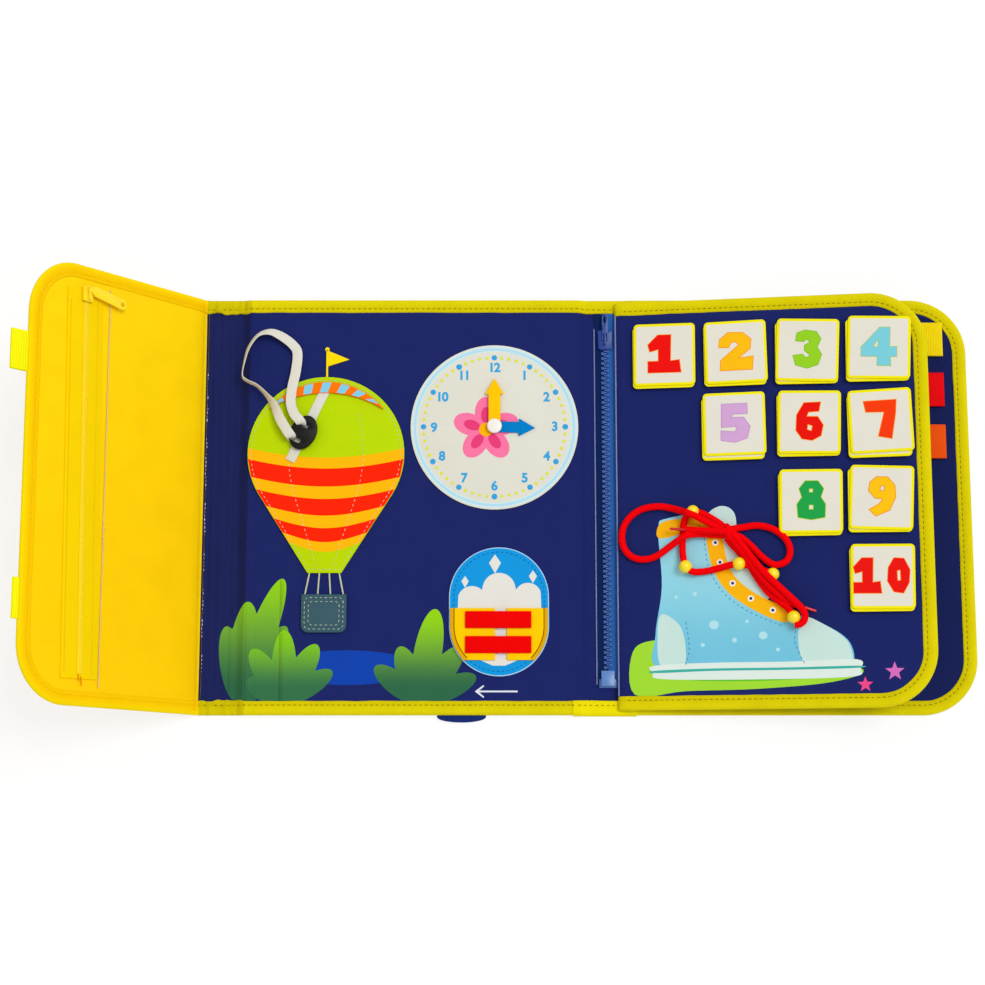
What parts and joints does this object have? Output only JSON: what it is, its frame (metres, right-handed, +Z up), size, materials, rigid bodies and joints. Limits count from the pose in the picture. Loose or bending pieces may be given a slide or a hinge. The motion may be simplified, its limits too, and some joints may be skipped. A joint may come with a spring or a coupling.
{
  "type": "fold-out busy board backpack",
  "caption": "Fabric busy board backpack opened flat: zipped flap, back panel, spine zip, cover and turning page with clock, shoe straps, number tiles and lacing.",
  "frame": {"origin": "middle of the footprint of the open backpack, on the surface it lies on", "axes": "+X from the raised flap across the back panel and the spine to the cover, +Y up the leaves towards the hanging end of the backpack, +Z up"},
  "size_m": [0.6581, 0.303, 0.1398],
  "materials": {
    "navy_oxford": "satin polyester, printed",
    "deep_blue_webbing": "woven webbing",
    "binding_yellow": "folded polyester tape",
    "flap_yellow": "satin polyester",
    "clear_film": "clear soft film",
    "zip_yellow": "moulded nylon",
    "zip_blue": "moulded resin and woven tape",
    "lime_leather": "printed appliqué, stitched",
    "crown_print": "printed appliqué, striped",
    "teal_patch": "printed appliqué, stitched",
    "white_elastic": "flat woven elastic",
    "black_lock": "moulded",
    "dial_print": "printed felt disc",
    "post_white": "moulded",
    "hand_yellow": "felt-faced plastic",
    "hand_blue": "felt-faced plastic",
    "sky_print": "printed appliqué",
    "sun_felt": "felt",
    "red_hook_tape": "hook and loop tape",
    "loop_yellow": "woven webbing",
    "loop_red": "woven webbing",
    "loop_orange": "ribbed webbing",
    "tile_print": "printed felt card with a yellow edge",
    "stud_yellow": "moulded bead",
    "lace_red": "round woven cord"
  },
  "bodies": {
    "back": {"back_panel": "navy_oxford", "back_binding_upper": "binding_yellow", "back_binding_lower": "binding_yellow", "shoulder_strap_left": "deep_blue_webbing", "shoulder_strap_right": "deep_blue_webbing", "balloon_envelope": "lime_leather", "balloon_basket": "teal_patch", "crown_patch": "crown_print", "elastic_strap": "white_elastic", "clock_dial": "dial_print", "clock_post": "post_white", "shoe_patch": "sky_print", "shoe_flap_right": "sun_felt"},
    "strap_slide": {"slide_lock": "black_lock", "elastic_loop": "white_elastic"},
    "hour_hand": {"hour_hand": "hand_blue"},
    "minute_hand": {"minute_hand": "hand_yellow"},
    "shoe_flap": {"shoe_flap_left": "sun_felt"},
    "shoe_strap_upper": {"shoe_strap_upper": "red_hook_tape"},
    "shoe_strap_lower": {"shoe_strap_lower": "red_hook_tape"},
    "gusset": {"gusset_strip": "navy_oxford"},
    "flap": {"flap_panel": "flap_yellow", "flap_binding": "flap_yellow", "pocket_window": "clear_film", "flap_zip_tape": "flap_yellow", "flap_zip_coil": "zip_yellow", "closure_tab_upper": "loop_yellow", "closure_tab_lower": "loop_yellow"},
    "flap_slider": {"flap_zip_slider": "zip_yellow"},
    "flap_pull": {"flap_zip_pull": "zip_yellow"},
    "spine": {"spine_strip": "navy_oxford", "spine_zip_left": "zip_blue", "spine_zip_right": "zip_blue", "spine_zip_box": "zip_blue"},
    "spine_slider": {"spine_zip_slider": "zip_blue"},
    "spine_pull": {"spine_zip_pull": "zip_blue"},
    "cover": {"cover_panel": "navy_oxford", "cover_binding": "binding_yellow", "webbing_loop_yellow": "loop_yellow", "webbing_loop_red": "loop_red", "webbing_loop_orange": "loop_orange"},
    "page": {"page_panel": "navy_oxford", "page_binding": "binding_yellow", "lacing_stud_1": "stud_yellow", "lacing_stud_2": "stud_yellow", "lacing_stud_3": "stud_yellow", "lacing_stud_4": "stud_yellow", "lacing_stud_5": "stud_yellow", "lace": "lace_red"},
    "tile_1": {"number_tile_1": "tile_print"},
    "tile_2": {"number_tile_2": "tile_print"},
    "tile_3": {"number_tile_3": "tile_print"},
    "tile_4": {"number_tile_4": "tile_print"},
    "tile_5": {"number_tile_5": "tile_print"},
    "tile_6": {"number_tile_6": "tile_print"},
    "tile_7": {"number_tile_7": "tile_print"},
    "tile_8": {"number_tile_8": "tile_print"},
    "tile_9": {"number_tile_9": "tile_print"},
    "tile_10": {"number_tile_10": "tile_print"}
  },
  "joints": [
    {"name": "gusset_fold", "type": "hinge", "parent": "back", "child": "gusset", "pos_m": [-0.19447, 0, 0.0014], "axis": [0, 1, 0], "range_deg": [0, 85]},
    {"name": "flap_fold", "type": "hinge", "parent": "gusset", "child": "flap", "pos_m": [-0.21947, 0, 0.0014], "axis": [0, -1, 0], "range_deg": [-38.5, 51.5]},
    {"name": "spine_fold", "type": "hinge", "parent": "back", "child": "spine", "pos_m": [0.05673, 0, 0.0014], "axis": [0, -1, 0], "range_deg": [0, 90]},
    {"name": "cover_fold", "type": "hinge", "parent": "spine", "child": "cover", "pos_m": [0.08063, 0, 0.0014], "axis": [0, -1, 0], "range_deg": [0, 87]},
    {"name": "page_turn", "type": "hinge", "parent": "cover", "child": "page", "pos_m": [0.08303, 0, 0.0083], "axis": [0, 1, 0], "range_deg": [-151, 8]},
    {"name": "number_tile_1_lift", "type": "slide", "parent": "page", "child": "tile_1", "axis": [-0.1564, 0, 0.9877], "range_m": [0, 0.004]},
    {"name": "number_tile_2_lift", "type": "slide", "parent": "page", "child": "tile_2", "axis": [0.1564, 0, -0.9877], "range_m": [-0.004, 0]},
    {"name": "number_tile_3_lift", "type": "slide", "parent": "page", "child": "tile_3", "axis": [0.1564, 0, -0.9877], "range_m": [-0.004, 0]},
    {"name": "number_tile_4_lift", "type": "slide", "parent": "page", "child": "tile_4", "axis": [0.1564, 0, -0.9877], "range_m": [-0.004, 0]},
    {"name": "number_tile_5_lift", "type": "slide", "parent": "page", "child": "tile_5", "axis": [0.1564, 0, -0.9877], "range_m": [-0.004, 0]},
    {"name": "number_tile_6_lift", "type": "slide", "parent": "page", "child": "tile_6", "axis": [0.1564, 0, -0.9877], "range_m": [-0.004, 0]},
    {"name": "number_tile_7_lift", "type": "slide", "parent": "page", "child": "tile_7", "axis": [0.1564, 0, -0.9877], "range_m": [-0.004, 0]},
    {"name": "number_tile_8_lift", "type": "slide", "parent": "page", "child": "tile_8", "axis": [0.1564, 0, -0.9877], "range_m": [-0.004, 0]},
    {"name": "number_tile_9_lift", "type": "slide", "parent": "page", "child": "tile_9", "axis": [0.1564, 0, -0.9877], "range_m": [-0.004, 0]},
    {"name": "number_tile_10_lift", "type": "slide", "parent": "page", "child": "tile_10", "axis": [0.1564, 0, -0.9877], "range_m": [-0.004, 0]},
    {"name": "shoe_flap_turn", "type": "hinge", "parent": "back", "child": "shoe_flap", "pos_m": [-0.04102, -0.0774, 0.0077], "axis": [0, 1, 0], "range_deg": [-45, 0]},
    {"name": "shoe_strap_upper_turn", "type": "hinge", "parent": "shoe_flap", "child": "shoe_strap_upper", "pos_m": [-0.03172, -0.0774, 0.0104], "axis": [0, 1, 0], "range_deg": [-120, 0]},
    {"name": "shoe_strap_lower_turn", "type": "hinge", "parent": "shoe_flap", "child": "shoe_strap_lower", "pos_m": [-0.03172, -0.0774, 0.0104], "axis": [0, 1, 0], "range_deg": [-120, 0]},
    {"name": "hour_turn", "type": "hinge", "parent": "back", "child": "hour_hand", "pos_m": [-0.01107, 0.0555, 0.0058], "axis": [0, 0, -1], "continuous": true},
    {"name": "minute_turn", "type": "hinge", "parent": "back", "child": "minute_hand", "pos_m": [-0.01107, 0.0555, 0.0058], "axis": [0, 0, -1], "continuous": true},
    {"name": "slide_travel", "type": "slide", "parent": "back", "child": "strap_slide", "axis": [-0.4297, -0.903, 0], "range_m": [-0.012, 0.008]},
    {"name": "spine_zip_slide", "type": "slide", "parent": "spine", "child": "spine_slider", "axis": [0, 1, 0], "range_m": [-0.228, 0.004]},
    {"name": "spine_pull_swing", "type": "hinge", "parent": "spine_slider", "child": "spine_pull", "pos_m": [0.06868, 0.12, 0.00505], "axis": [1, 0, 0], "range_deg": [0, 180]},
    {"name": "flap_zip_slide", "type": "slide", "parent": "flap", "child": "flap_slider", "axis": [-0.012, 0.9998, 0.015], "range_m": [-0.245, 0.003]},
    {"name": "flap_pull_swing", "type": "hinge", "parent": "flap_slider", "child": "flap_pull", "pos_m": [-0.28667, 0.13292, 0.09624], "axis": [0.7826, 0, 0.6225], "range_deg": [-38, 101]}
  ]
}
